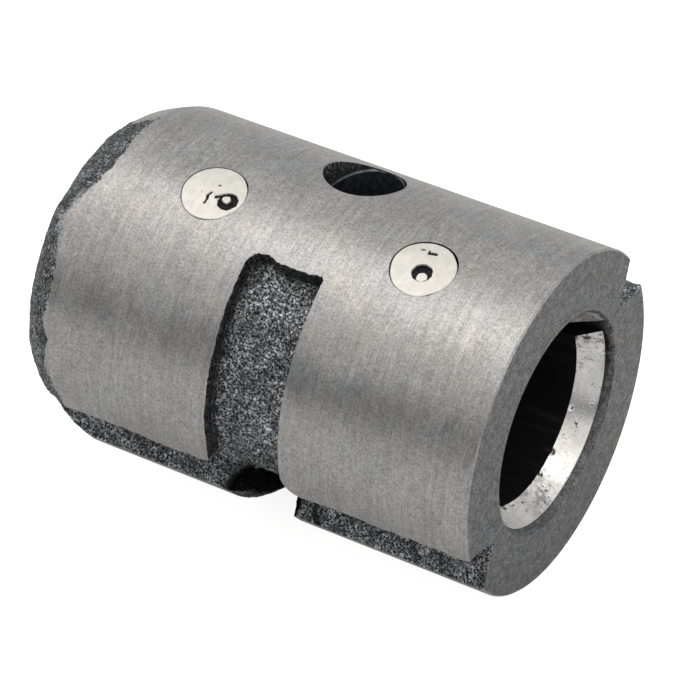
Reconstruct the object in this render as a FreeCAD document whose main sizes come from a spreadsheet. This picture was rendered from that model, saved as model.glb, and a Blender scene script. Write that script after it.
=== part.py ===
import FreeCAD, Part
import math
import os
import Sketcher

# Split, white-metal lined bearing sleeve.
#
# The sleeve's axis is the X axis and the origin is the middle of the bore. The machined
# front face looks along +X. Each half is drawn with its joint face level and its front
# face at X = 0, and is then moved forward by half the length and rolled about the axis
# by lie_angle, which is how the sleeve lies on a bench with its slot facing forward.
#
# A station is an angle about the axis from the crown of the upper half: 0 is the
# crown, 90 is the front joint line, 180 the keel and -90 the rear joint line.

doc = FreeCAD.newDocument("split_bearing_sleeve")

# ---------------------------------------------------------------- driving dimensions

SIZES = [
    ("outer_diameter", 47.6, "machined seat of the sleeve"),
    ("overall_length", 69.3, "front face to cast rear face"),
    ("bore_diameter", 25.45, "running bore for a 25.4 mm shaft"),
    ("lining_thickness", 2.05, "white metal, radial"),
    ("lining_seat_gap", 0.02, "between lining and shell, radial"),
    ("mouth_diameter", 31.0, "bore mouth where it meets the end face"),
    ("mouth_depth", 4.25, "axial depth of the mouth cone down to the bore"),
    ("edge_break", 0.4, "chamfer on the front outer edge"),
    ("rim_start", 60.7, "front face to the start of the cast rear rim"),
    ("rim_diameter", 39.7, "outer edge of the rear face"),
    ("lie_angle", 28.0, "roll of the joint plane"),
    ("joint_gap", 0.08, "between the two joint faces"),
    ("notch_root_radius", 18.0, "axis to the root of a joint notch"),
    ("notch_upper_flank_angle", 38.5, "upper notch flank to the joint plane"),
    ("notch_lower_flank_angle", 33.0, "lower notch flank to the joint plane"),
    ("slot_front", 27.9, "front face to the near wall of the slot"),
    ("slot_rear", 39.0, "front face to the far wall of the slot"),
    ("slot_floor_radius", 20.7, "axis to the slot floor"),
    ("slot_draft", 0.5, "axial lean of a slot wall over its depth"),
    ("slot_runout", 6.2, "axial lean of the far wall in the lower half"),
    ("slot_top_station", 2.0, "station where the slot starts"),
    ("slot_end_station", 178.0, "station where the slot ends"),
    ("pin_hole_diameter", 10.3, "cross hole for the locating pin and oil"),
    ("pin_hole_distance", 33.2, "front face to the cross hole"),
    ("pin_hole_station", -44.4, "station of the cross hole"),
    ("pin_seat_diameter", 11.1, "slightly wider mouth of the cross hole"),
    ("pin_seat_radius", 20.6, "axis to the step below that mouth"),
    ("plug_diameter", 8.9, "anchor plug"),
    ("plug_gap", 0.05, "between an anchor plug and its hole, radial"),
    ("plug_front_distance", 16.7, "front face to the front anchor plugs"),
    ("plug_rear_distance", 48.1, "front face to the rear anchor plugs"),
    ("plug_upper_station", -12.35, "station of the plugs in the upper half"),
    ("plug_lower_station", 167.65, "station of the plugs in the lower half"),
    ("relief_outer_height", 1.55, "bevelled lining edge above the joint, at the shell"),
    ("relief_inner_height", 3.3, "bevelled lining edge above the joint, at the bore"),
    ("relief_step", 1.3, "square lining edge below the joint"),
]

sheet = doc.addObject("Spreadsheet::Sheet", "sizes")
for row, (alias, value, note) in enumerate(SIZES, start=1):
    sheet.set(f"A{row}", alias)
    sheet.set(f"B{row}", str(value))
    sheet.setAlias(f"B{row}", alias)
    sheet.set(f"C{row}", note)
doc.recompute()

# Sizes that follow from the driving ones, as expressions over the sheet.
OUTER = "sizes.outer_diameter / 2"
BORE = "sizes.bore_diameter / 2"
MOUTH = "sizes.mouth_diameter / 2"
LINING_BACK = "(sizes.bore_diameter / 2 + sizes.lining_thickness)"
SHELL_BORE = "(sizes.bore_diameter / 2 + sizes.lining_thickness + sizes.lining_seat_gap)"
CONE_RUN = "sizes.mouth_depth / (sizes.mouth_diameter / 2 - sizes.bore_diameter / 2)"
SHELL_CONE_DEPTH = f"(({MOUTH} - {SHELL_BORE}) * {CONE_RUN})"
LINING_CONE_DEPTH = f"(({MOUTH} - {LINING_BACK}) * {CONE_RUN})"

# How far a cutting outline reaches past the metal it cuts.
CLEAR = "4"


def size(expression):
    """The present value of an expression over the sheet."""
    value = sheet.evalExpression(expression)
    return float(getattr(value, "Value", value))


# ---------------------------------------------------------------------- sketch helpers


def origin_plane(body, role):
    for feature in body.Origin.OriginFeatures:
        if feature.Role == role:
            return feature
    raise ValueError(role)


def sketch_on(body, name, role, station):
    """A sketch on an origin plane of the body, swung about the X axis to a station."""
    sketch = body.newObject("Sketcher::SketchObject", name)
    sketch.AttachmentSupport = [(origin_plane(body, role), "")]
    sketch.MapMode = "FlatFace"
    sketch.AttachmentOffset = FreeCAD.Placement(
        FreeCAD.Vector(0, 0, 0), FreeCAD.Rotation(FreeCAD.Vector(1, 0, 0), size(station))
    )
    sketch.setExpression("AttachmentOffset.Rotation.Angle", station)
    return sketch


def hold(sketch, geometry, point, across, up):
    """Hold one end of a piece of geometry at two expressions, measured from the origin."""
    for kind, axis, expression in (("DistanceX", -2, across), ("DistanceY", -1, up)):
        value = size(expression)
        if abs(value) < 1e-9:
            sketch.addConstraint(Sketcher.Constraint("PointOnObject", geometry, point, axis))
            continue
        index = sketch.addConstraint(
            Sketcher.Constraint(kind, -1, 1, geometry, point, value)
        )
        sketch.setExpression(f"Constraints[{index}]", expression)


def add_outline(sketch, corners):
    """A closed outline of straight lines. Each corner is a pair of expressions."""
    spots = [FreeCAD.Vector(size(across), size(up), 0) for across, up in corners]
    first = sketch.GeometryCount
    count = len(spots)
    for i in range(count):
        sketch.addGeometry(Part.LineSegment(spots[i], spots[(i + 1) % count]), False)
    for i in range(count):
        following = first + (i + 1) % count
        sketch.addConstraint(Sketcher.Constraint("Coincident", first + i, 2, following, 1))
        hold(sketch, first + i, 1, *corners[i])


def add_circle(sketch, across, up, radius):
    """A circle held by its centre and radius expressions."""
    centre = FreeCAD.Vector(size(across), size(up), 0)
    index = sketch.addGeometry(Part.Circle(centre, FreeCAD.Vector(0, 0, 1), size(radius)), False)
    hold(sketch, index, 3, across, up)
    rule = sketch.addConstraint(Sketcher.Constraint("Radius", index, size(radius)))
    sketch.setExpression(f"Constraints[{rule}]", radius)


# --------------------------------------------------------------------- feature helpers


def new_body(name):
    body = doc.addObject("PartDesign::Body", name)
    body.Label = name
    body.Placement = FreeCAD.Placement(
        FreeCAD.Vector(size("sizes.overall_length / 2"), 0, 0),
        FreeCAD.Rotation(FreeCAD.Vector(1, 0, 0), size("sizes.lie_angle")),
    )
    body.setExpression("Placement.Base.x", "sizes.overall_length / 2")
    body.setExpression("Placement.Rotation.Angle", "sizes.lie_angle")
    return body


def volume_after(body):
    doc.recompute()
    return body.Shape.Volume


def turn_solid(body, sketch, degrees):
    """Revolve a half profile about the X axis, evenly to both sides of its plane."""
    feature = body.newObject("PartDesign::Revolution", sketch.Name + "_turned")
    feature.Profile = sketch
    feature.ReferenceAxis = (sketch, ["H_Axis"])
    feature.Angle = degrees
    feature.Midplane = True
    feature.Refine = False
    body.Tip = feature
    return feature


def cut_ring(body, sketch, degrees):
    """Remove a profile swept about the X axis, towards rising stations."""
    before = volume_after(body)
    feature = body.newObject("PartDesign::Groove", sketch.Name + "_cut")
    feature.Profile = sketch
    feature.ReferenceAxis = (sketch, ["H_Axis"])
    feature.Angle = size(degrees)
    feature.setExpression("Angle", degrees)
    feature.Refine = False
    body.Tip = feature
    if volume_after(body) >= before:
        raise RuntimeError(sketch.Name + " removed nothing")
    return feature


def cut_along_axis(body, sketch):
    """Remove an outline along the whole length of the sleeve."""
    before = volume_after(body)
    feature = body.newObject("PartDesign::Pocket", sketch.Name + "_cut")
    feature.Profile = sketch
    feature.Type = "ThroughAll"
    feature.Midplane = True
    feature.Refine = False
    body.Tip = feature
    if volume_after(body) >= before:
        raise RuntimeError(sketch.Name + " removed nothing")
    return feature


def drill_outwards(body, name, station, distance, radius):
    """Remove a round hole from the axis outwards through one wall."""
    before = volume_after(body)
    sketch = sketch_on(body, name, "XY_Plane", station)
    add_circle(sketch, "-" + distance, "0", radius)
    feature = body.newObject("PartDesign::Pocket", name + "_cut")
    feature.Profile = sketch
    feature.Type = "ThroughAll"
    feature.Reversed = True
    feature.Refine = False
    body.Tip = feature
    if volume_after(body) >= before:
        raise RuntimeError(name + " removed nothing")
    return feature


def sink_seat(body, name, station, distance, radius, floor):
    """Remove a shallow round seat, coaxial with a radial hole, down to a floor."""
    before = volume_after(body)
    sketch = sketch_on(body, name, "XZ_Plane", station)
    top = f"({OUTER} + {CLEAR})"
    centre, edge = "-" + distance, f"({radius} - {distance})"
    corners = [(centre, floor), (edge, floor), (edge, top), (centre, top)]
    add_outline(sketch, corners)
    first, second = (FreeCAD.Vector(size(centre), size(up), 0) for up in ("0", top))
    index = sketch.addGeometry(Part.LineSegment(first, second), True)
    hold(sketch, index, 1, centre, "0")
    hold(sketch, index, 2, centre, top)
    feature = body.newObject("PartDesign::Groove", name + "_cut")
    feature.Profile = sketch
    feature.ReferenceAxis = (sketch, ["Axis0"])
    feature.Angle = 360
    feature.Refine = False
    body.Tip = feature
    if volume_after(body) >= before:
        raise RuntimeError(name + " removed nothing")
    return feature


# ------------------------------------------------------------------------ shell halves


def shell_profile(body, station):
    """Half section of the cast shell: cones at both mouths and a rounded rear rim.

    The outside is drawn as two lands, which meet at the cross hole inside the slot.
    """
    sketch = sketch_on(body, body.Name + "_profile", "XZ_Plane", station)
    length = "sizes.overall_length"
    chain = [
        (f"-{SHELL_CONE_DEPTH}", SHELL_BORE),
        ("0", MOUTH),
        ("0", f"({OUTER} - sizes.edge_break)"),
        ("-sizes.edge_break", OUTER),
        ("-sizes.pin_hole_distance", OUTER),
        ("-sizes.rim_start", OUTER),
        (f"-{length}", "sizes.rim_diameter / 2"),
        (f"-{length}", MOUTH),
        (f"-({length} - {SHELL_CONE_DEPTH})", SHELL_BORE),
    ]
    spots = [FreeCAD.Vector(size(across), size(up), 0) for across, up in chain]
    arc_at = 5
    count = len(spots)
    for i in range(count):
        start, end = spots[i], spots[(i + 1) % count]
        if i == arc_at:
            run, drop = start.x - end.x, start.y - end.y
            radius = (run * run + drop * drop) / (2 * drop)
            centre = FreeCAD.Vector(start.x, start.y - radius, 0)
            circle = Part.Circle(centre, FreeCAD.Vector(0, 0, 1), radius)
            end_angle = math.atan2(end.y - centre.y, end.x - centre.x)
            piece = Part.ArcOfCircle(circle, math.pi / 2, end_angle)
        else:
            piece = Part.LineSegment(start, end)
        sketch.addGeometry(piece, False)
    for i in range(count):
        kind = "Tangent" if i == arc_at - 1 else "Coincident"
        sketch.addConstraint(Sketcher.Constraint(kind, i, 2, (i + 1) % count, 1))
        hold(sketch, i, 1, *chain[i])
    return sketch


def cut_joint_and_notches(body, up, flank_angle):
    """Dress the joint face and the notch flank on each side of it. up is 1 or -1."""
    sketch = sketch_on(body, body.Name + "_joint", "YZ_Plane", "0")
    face = f"{up} * sizes.joint_gap / 2"
    reach = f"({OUTER} + {CLEAR})"
    root = "sizes.notch_root_radius"
    rise = f"{up} * (sizes.joint_gap / 2 + ({reach} - {root}) * tan({flank_angle}))"
    below = f"{-up} * {CLEAR}"
    corners = [
        (f"-{reach}", below),
        (reach, below),
        (reach, rise),
        (root, face),
        (f"-{root}", face),
        (f"-{reach}", rise),
    ]
    add_outline(sketch, corners)
    cut_along_axis(body, sketch)


def cut_slot(body, start, end, far_lean):
    """Cast slot part of the way round, from one station to another."""
    sketch = sketch_on(body, body.Name + "_slot", "XZ_Plane", start)
    depth = f"({OUTER} - sizes.slot_floor_radius)"
    top = f"({OUTER} + {CLEAR})"
    above = f"({CLEAR} / {depth})"
    near_floor = "(sizes.slot_front + sizes.slot_draft)"
    far_floor = f"(sizes.slot_rear - {far_lean})"
    corners = [
        (f"-(sizes.slot_front - sizes.slot_draft * {above})", top),
        (f"-(sizes.slot_rear + {far_lean} * {above})", top),
        (f"-{far_floor}", "sizes.slot_floor_radius"),
        (f"-{near_floor}", "sizes.slot_floor_radius"),
    ]
    add_outline(sketch, corners)
    cut_ring(body, sketch, f"{end} - ({start})")


def build_shell(name, crown, up, flank_angle):
    """One cast-iron half. crown is the station of its middle."""
    body = new_body(name)
    turn_solid(body, shell_profile(body, crown), 180)
    doc.recompute()
    cut_joint_and_notches(body, up, flank_angle)
    return body


# ---------------------------------------------------------------------- lining halves


def build_lining(name, crown, edge_corners):
    """One half of the white-metal lining, between the two mouth cones."""
    body = new_body(name)
    sketch = sketch_on(body, name + "_profile", "XZ_Plane", crown)
    length = "sizes.overall_length"
    add_outline(
        sketch,
        [
            (f"-{LINING_CONE_DEPTH}", LINING_BACK),
            ("-sizes.mouth_depth", BORE),
            (f"-({length} - sizes.mouth_depth)", BORE),
            (f"-({length} - {LINING_CONE_DEPTH})", LINING_BACK),
        ],
    )
    turn_solid(body, sketch, 180)
    doc.recompute()
    relief = sketch_on(body, name + "_relief", "YZ_Plane", "0")
    for side in ("", "-"):
        add_outline(relief, [(side + across, up) for across, up in edge_corners])
    cut_along_axis(body, relief)
    return body


def bevelled_edge():
    """Corners of the relief beside the joint: deep at the bore, shallow at the shell."""
    drop = f"((sizes.relief_inner_height - sizes.relief_outer_height) / ({LINING_BACK} - {BORE}))"
    inner, outer = f"({BORE} - 2)", f"({LINING_BACK} + 2)"
    return [
        (inner, "-2"),
        (outer, "-2"),
        (outer, f"(sizes.relief_outer_height - 2 * {drop})"),
        (inner, f"(sizes.relief_inner_height + 2 * {drop})"),
    ]


def square_edge():
    """Corners of the relief beside the joint with its edge parallel to the joint."""
    inner, outer = f"({BORE} - 2)", f"({LINING_BACK} + 2)"
    return [
        (inner, "-sizes.relief_step"),
        (outer, "-sizes.relief_step"),
        (outer, "2"),
        (inner, "2"),
    ]


# ----------------------------------------------------------------------- anchor plugs


def build_plug(name, station, distance):
    """White-metal plug from the lining's back to the outside, flush at both ends."""
    body = new_body(name)
    sketch = sketch_on(body, name + "_round", "XY_Plane", station)
    add_circle(sketch, "-" + distance, "0", "sizes.plug_diameter / 2 - sizes.plug_gap")
    pad = body.newObject("PartDesign::Pad", name + "_pad")
    pad.Profile = sketch
    pad.Length = size(f"{OUTER} + {CLEAR}")
    pad.setExpression("Length", f"{OUTER} + {CLEAR}")
    body.Tip = pad
    doc.recompute()
    ends = sketch_on(body, name + "_ends", "XZ_Plane", station)
    near = f"-({distance} - sizes.plug_diameter)"
    far = f"-({distance} + sizes.plug_diameter)"
    beyond = f"({OUTER} + 2 * {CLEAR})"
    for low, high in (("0", SHELL_BORE), (OUTER, beyond)):
        add_outline(ends, [(near, low), (near, high), (far, high), (far, low)])
    cut_ring(body, ends, "360")
    return body


# ------------------------------------------------------------------------ the assembly

upper_shell = build_shell("upper_shell", "0", 1, "sizes.notch_upper_flank_angle")
cut_slot(upper_shell, "sizes.slot_top_station", "100", "sizes.slot_draft")
lower_shell = build_shell("lower_shell", "180", -1, "sizes.notch_lower_flank_angle")
cut_slot(lower_shell, "80", "sizes.slot_end_station", "sizes.slot_runout")

upper_lining = build_lining("upper_lining", "0", bevelled_edge())
lower_lining = build_lining("lower_lining", "180", square_edge())

for body in (upper_shell, upper_lining):
    drill_outwards(
        body,
        body.Name + "_pin_hole",
        "sizes.pin_hole_station",
        "sizes.pin_hole_distance",
        "sizes.pin_hole_diameter / 2",
    )
sink_seat(
    upper_shell,
    "upper_shell_pin_seat",
    "sizes.pin_hole_station",
    "sizes.pin_hole_distance",
    "sizes.pin_seat_diameter / 2",
    "sizes.pin_seat_radius",
)

pieces = [upper_shell, lower_shell, upper_lining, lower_lining]
for half, shell in (("upper", upper_shell), ("lower", lower_shell)):
    for place in ("front", "rear"):
        station = f"sizes.plug_{half}_station"
        distance = f"sizes.plug_{place}_distance"
        hole = f"{half}_{place}_plug_hole"
        drill_outwards(shell, hole, station, distance, "sizes.plug_diameter / 2")
        pieces.append(build_plug(f"{half}_{place}_anchor_plug", station, distance))

doc.recompute()

for thing in doc.Objects:
    if "Invalid" in thing.State or "Error" in thing.State:
        raise RuntimeError(f"{thing.Name} failed: {thing.State}")

os.makedirs("parts", exist_ok=True)
for piece in pieces:
    shape = piece.Shape
    if shape.isNull() or not shape.isValid() or len(shape.Solids) != 1:
        raise RuntimeError(f"{piece.Label} is not one valid solid")
    shape.exportStep(os.path.join("parts", piece.Label + ".step"))
    box = shape.BoundBox
    print(f"{piece.Label}: {shape.Volume:.0f} mm3, x {box.XMin:.2f} to {box.XMax:.2f}")
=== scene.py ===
import math

import bmesh
import bpy
import numpy as np
from mathutils import Matrix, Vector


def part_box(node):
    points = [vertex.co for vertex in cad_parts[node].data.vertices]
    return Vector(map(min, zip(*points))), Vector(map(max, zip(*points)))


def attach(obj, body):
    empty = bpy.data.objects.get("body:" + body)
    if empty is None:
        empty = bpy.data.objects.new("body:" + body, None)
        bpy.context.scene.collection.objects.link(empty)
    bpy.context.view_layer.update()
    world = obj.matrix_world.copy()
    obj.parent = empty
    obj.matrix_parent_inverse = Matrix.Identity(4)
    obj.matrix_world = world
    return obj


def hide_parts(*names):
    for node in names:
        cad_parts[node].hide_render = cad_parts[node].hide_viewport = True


# Split, white-metal lined bearing sleeve, lying on a pale floor.
#
# Shapes are built in millimetres in the frame of the part and scaled to metres when they
# become objects. The axis of the sleeve is X and the front face looks along +X.
# A station is an angle about X from the crown of the upper half, in degrees: 0 is the
# crown, 90 the front joint line, 180 the keel and -90 the rear joint line.

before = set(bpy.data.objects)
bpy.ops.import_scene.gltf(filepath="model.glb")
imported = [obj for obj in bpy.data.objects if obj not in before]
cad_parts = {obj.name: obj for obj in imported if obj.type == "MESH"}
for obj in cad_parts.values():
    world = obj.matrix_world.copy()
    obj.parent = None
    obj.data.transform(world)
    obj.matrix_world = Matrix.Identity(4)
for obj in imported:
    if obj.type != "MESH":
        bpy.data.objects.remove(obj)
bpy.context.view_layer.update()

# ---------------------------------------------------------------- sizes, millimetres

PER_METRE = 1000.0
HALVES = ("upper", "lower")
LIE = 28.0  # degrees that the crown leans from straight up, toward the viewer
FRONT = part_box("lower_shell")[1].x * PER_METRE
REAR = -FRONT
OUTSIDE = 23.8
SEAT_BORE = 14.795
LINING_BACK = 14.775
BORE = 12.725
MOUTH = 15.5
MOUTH_DEPTH = 4.25
EDGE_BREAK = 0.25

JOINT_GAP = 0.08
NOTCH_ROOT = 18.0
NOTCH_FLANK = {"upper": math.radians(38.5), "lower": math.radians(33.0)}
ROOT_RISE = 0.8
ROOT_RISE_START = FRONT - 16.0
ROOT_RISE_RUN = 10.0

SLOT_FRONT = FRONT - 27.9
SLOT_REAR = FRONT - 39.0
SLOT_FLOOR = 20.7
SLOT_TOP_STATION = 2.0
SLOT_END_STATION = 178.0
HOLLOW_EXTRA = 1.7

RIM_FALL = 4.3
RIM_INSIDE = 15.9

HOLE_X = FRONT - 33.2
HOLE_STATION = -44.4
HOLE_RADIUS = 5.36
HOLE_MOUTH_RADIUS = 5.55
STEP_HEIGHT = 20.49
STEP_SLOPE = (0.11, -0.454)
STEP_SHIFT = 0.14

PLUG_RADIUS = 4.45
PLUG_FOOT = 14.9
PLUG_X = {"front": FRONT - 16.7, "rear": FRONT - 48.1}
PLUG_STATION = {"upper": -12.35, "lower": 167.65}

# Where the machined outside gives out into the cast rear rim: station, and distance from
# the front face.
LAND_LINE = [
    (-180, 61.0),
    (-75, 61.3),
    (-58, 61.8),
    (-34, 62.6),
    (-8, 62.9),
    (2, 64.2),
    (8, 65.1),
    (20, 64.7),
    (47, 64.3),
    (62, 63.8),
    (77, 62.2),
    (92, 61.2),
    (107, 60.4),
    (122, 60.6),
    (180, 61.0),
]


def around(x, station, radius):
    """Points at an axial place, a station and a radius."""
    angle = np.radians(np.asarray(station) + LIE)
    x, angle, radius = np.broadcast_arrays(x, angle, radius)
    return np.stack([x, -radius * np.sin(angle), radius * np.cos(angle)], axis=-1)


# ---------------------------------------------------------------------------- noise

# Large odd factors and shifts that mix whole numbers into one repeatable value.
CELL_FACTORS = (73856093, 19349663, 83492791)
SEED_FACTOR = 26544357
MIX_STEPS = ((15, 2246822519), (13, 3266489917))
LAST_SHIFT = 16
FULL = 0xFFFFFFFF

JOINT_SEED = {"upper": 11, "lower": 23}
SLOT_SEED = {"upper": 41, "lower": 59}
SLOT_EDGE_SEED = 331
RIM_SEED = 97
LINING_SEED = {"upper": 201, "lower": 233}
PLUG_SEED = 301


def corner_value(cells, seed):
    """A repeatable number from 0 to 1 for each whole-number cell corner."""
    full = np.uint64(FULL)
    n = seed * SEED_FACTOR
    for axis, factor in enumerate(CELL_FACTORS):
        n = n ^ (cells[..., axis].astype(np.int64) * factor)
    n = n.astype(np.uint64) & full
    for shift, factor in MIX_STEPS:
        n = ((n ^ (n >> np.uint64(shift))) * np.uint64(factor)) & full
    n = n ^ (n >> np.uint64(LAST_SHIFT))
    return n.astype(float) / FULL


def bumps(points, cell, seed):
    """Smooth noise from -1 to 1 with lumps about one cell wide."""
    scaled = points / cell
    base = np.floor(scaled)
    part = scaled - base
    part = part * part * (3 - 2 * part)
    total = np.zeros(points.shape[:-1])
    for step in np.ndindex(2, 2, 2):
        share = np.abs(1 - np.array(step) - part).prod(axis=-1)
        total += share * corner_value(base + step, seed)
    return total * 2 - 1


def grit(points, cell, seed, layers=3):
    """Noise with finer and finer layers on top of each other."""
    layer_seed = 17
    layer_height = 0.55
    total = np.zeros(points.shape[:-1])
    height = 1.0
    for layer in range(layers):
        total += height * bumps(points, cell / 2**layer, seed + layer * layer_seed)
        height *= layer_height
    return total


def soft_min(a, b, width):
    """The smaller of two values, with the crossing rounded over a width."""
    share = np.clip(0.5 + 0.5 * (b - a) / width, 0, 1)
    return b * (1 - share) + a * share - width * share * (1 - share)


def hill(value, middle, spread, power=2):
    """1 at the middle, falling smoothly to 0 on both sides."""
    return np.exp(-(((value - middle) / spread) ** power))


# ------------------------------------------------------------------- meshes from grids


def grid_quads(rows, columns, start=0, close_rows=False, close_columns=False):
    """Corner numbers of the quads of a grid laid out row by row."""
    row = np.arange(rows if close_rows else rows - 1)
    column = np.arange(columns if close_columns else columns - 1)
    row, column = np.meshgrid(row, column, indexing="ij")
    next_row = (row + 1) % rows
    next_column = (column + 1) % columns
    corners = [
        row * columns + column,
        row * columns + next_column,
        next_row * columns + next_column,
        next_row * columns + column,
    ]
    return np.stack(corners, axis=-1).reshape(-1, 4) + start


def end_caps(rows, columns):
    """Corner numbers of the two faces that close a tube of rows."""
    last = (rows - 1) * columns
    return [list(range(columns)), list(range(last, last + columns))]


def new_piece(name, points, quads, caps=()):
    """A mesh object in millimetres, with outward faces."""
    mesh = bpy.data.meshes.new(name)
    faces = quads.tolist() + [list(cap) for cap in caps]
    mesh.from_pydata(points.reshape(-1, 3).tolist(), [], faces)
    mesh.update()
    work = bmesh.new()
    work.from_mesh(mesh)
    bmesh.ops.recalc_face_normals(work, faces=work.faces)
    work.to_mesh(mesh)
    work.free()
    piece = bpy.data.objects.new(name, mesh)
    bpy.context.scene.collection.objects.link(piece)
    return piece


def slab(name, low, high):
    """A closed solid between two grids of the same size."""
    rows, columns = low.shape[:2]
    count = rows * columns
    number = np.arange(count).reshape(rows, columns)
    rim = np.concatenate(
        [number[0, :-1], number[:-1, -1], number[-1, :0:-1], number[:0:-1, 0]]
    )
    following = np.roll(rim, -1)
    sides = np.stack([rim, following, following + count, rim + count], axis=-1)
    low_quads = grid_quads(rows, columns)[:, ::-1]
    high_quads = grid_quads(rows, columns, start=count)
    points = np.concatenate([low.reshape(-1, 3), high.reshape(-1, 3)])
    return new_piece(name, points, np.concatenate([low_quads, high_quads, sides]))


def paint(piece, *materials):
    for material in materials:
        piece.data.materials.append(material)
    return piece


def mark_hollow(piece, values):
    """Store how dark and hollow each point is, for the material to read."""
    mark = piece.data.attributes.new("hollow", "FLOAT", "POINT")
    mark.data.foreach_set("value", values.astype(np.float32).ravel())


def off_axis(face):
    return math.hypot(face.center.y, face.center.z)


def cut(piece, cutter):
    """Take the cutter out of the piece. Faces it leaves keep the cutter's material."""
    step = piece.modifiers.new("cut", "BOOLEAN")
    step.operation = "DIFFERENCE"
    step.solver = "MANIFOLD"
    step.material_mode = "TRANSFER"
    step.object = cutter
    bpy.context.view_layer.update()
    graph = bpy.context.evaluated_depsgraph_get()
    result = bpy.data.meshes.new_from_object(piece.evaluated_get(graph))
    piece.modifiers.clear()
    used = piece.data
    piece.data = result
    bpy.data.meshes.remove(used)


def drop(*pieces):
    for piece in pieces:
        bpy.data.objects.remove(piece)


CREASE = math.radians(35.0)


def settle(piece, half, node):
    """Scale to metres, set creases, and let the piece stand for its CAD node."""
    mesh = piece.data
    mesh.transform(Matrix.Scale(1 / PER_METRE, 4))
    work = bmesh.new()
    work.from_mesh(mesh)
    for face in work.faces:
        face.smooth = True
    for edge in work.edges:
        if len(edge.link_faces) != 2:
            continue
        first, second = edge.link_faces
        apart = first.material_index != second.material_index
        edge.smooth = not apart and edge.calc_face_angle(0.0) < CREASE
    work.to_mesh(mesh)
    work.free()
    mesh.name = piece.name
    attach(piece, half + "_half")
    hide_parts(node)


# ------------------------------------------------------------------------- materials
#
# Lengths in the node trees are in metres, and a noise scale is in lumps per metre.


class Nodes:
    """Short calls for building the node tree of a material or of the world."""

    def __init__(self, owner):
        owner.use_nodes = True
        self.owner = owner
        self.tree = owner.node_tree
        self.places = self.add("ShaderNodeTexCoord").outputs
        self.place = self.places["Object"]

    def add(self, kind, inputs=None, **settings):
        node = self.tree.nodes.new(kind)
        for key, value in settings.items():
            setattr(node, key, value)
        for key, value in (inputs or {}).items():
            self.feed(node.inputs[key], value)
        return node

    def feed(self, socket, value):
        if isinstance(value, bpy.types.NodeSocket):
            self.tree.links.new(value, socket)
        else:
            socket.default_value = value

    def math(self, operation, a, b=0.0):
        return self.add("ShaderNodeMath", {0: a, 1: b}, operation=operation).outputs[0]

    def plus(self, a, b):
        return self.math("ADD", a, b)

    def minus(self, a, b):
        return self.math("SUBTRACT", a, b)

    def times(self, value, *factors):
        for factor in factors:
            value = self.math("MULTIPLY", value, factor)
        return value

    def split(self, place):
        return self.add("ShaderNodeSeparateXYZ", {0: place}).outputs

    def off_axis(self, y, z):
        return self.math("SQRT", self.plus(self.times(y, y), self.times(z, z)))

    def toward(self, station, unit=1.0):
        """How far a place lies toward a station, with this many units to a metre."""
        node = self.add("ShaderNodeVectorMath", {0: self.place}, operation="DOT_PRODUCT")
        node.inputs[1].default_value = tuple(around(0.0, station, unit))
        return node.outputs["Value"]

    def noise(self, scale, detail=3.0, roughness=0.6, place=None, distortion=0.0):
        inputs = {"Vector": place or self.place, "Scale": scale, "Detail": detail}
        inputs |= {"Roughness": roughness, "Distortion": distortion}
        return self.add("ShaderNodeTexNoise", inputs).outputs["Fac"]

    def tool_marks(self, lathe, factors, detail=3.0, distortion=0.0):
        """Noise drawn out along the turning direction, in lumps per metre each way."""
        node = self.add("ShaderNodeVectorMath", {0: lathe}, operation="MULTIPLY")
        node.inputs[1].default_value = factors
        return self.noise(1.0, detail, place=node.outputs[0], distortion=distortion)

    def span(self, value, low, high, to_low=0.0, to_high=1.0):
        """Carry a value from one range to another and hold it there."""
        inputs = {0: value, 1: low, 2: high, 3: to_low, 4: to_high}
        return self.add("ShaderNodeMapRange", inputs).outputs["Result"]

    def vary(self, noise, to_low, to_high):
        """Carry noise, which seldom leaves 0.3 to 0.7, to a range."""
        return self.span(noise, 0.3, 0.7, to_low, to_high)

    def wander(self, scale, reach):
        """Noise between minus and plus a reach."""
        return self.vary(self.noise(scale), -reach, reach)

    def blend(self, share, first, second):
        node = self.add("ShaderNodeMix", {0: share, 6: first, 7: second}, data_type="RGBA")
        return node.outputs[2]

    def grey(self, value, tint=(1.0, 1.0, 1.0)):
        """A colour from a brightness and a tint."""
        channels = {i: self.times(value, channel) for i, channel in enumerate(tint)}
        return self.add("ShaderNodeCombineColor", channels).outputs[0]

    def bump(self, height, distance, strength=1.0, normal=None):
        inputs = {"Height": height, "Distance": distance, "Strength": strength}
        if normal is not None:
            inputs["Normal"] = normal
        return self.add("ShaderNodeBump", inputs).outputs["Normal"]

    def soft_edges(self, radius):
        return self.add("ShaderNodeBevel", {"Radius": radius}, samples=3).outputs[0]

    def hollow(self):
        """The mark that mark_hollow left on the mesh."""
        return self.add("ShaderNodeAttribute", attribute_name="hollow").outputs["Fac"]

    def turning(self, kind):
        """Coordinates whose X runs across the tool marks."""
        x, y, z = self.split(self.place)
        across = x
        if kind == "face":
            middle_radius = 0.0195
            across = self.off_axis(y, z)
            y = self.times(self.math("ARCTAN2", y, z), middle_radius)
            z = 0.0
        return self.add("ShaderNodeCombineXYZ", {0: across, 1: y, 2: z}).outputs[0]

    def finish(self, colour, metallic, roughness, normal, **extra):
        shader = self.tree.nodes["Principled BSDF"]
        inputs = {
            "Base Color": colour,
            "Metallic": metallic,
            "Roughness": roughness,
            "Normal": normal,
        }
        for key, value in (inputs | extra).items():
            self.feed(shader.inputs[key.replace("_", " ")], value)
        return self.owner


def new_material(name):
    return Nodes(bpy.data.materials.new(name))


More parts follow.
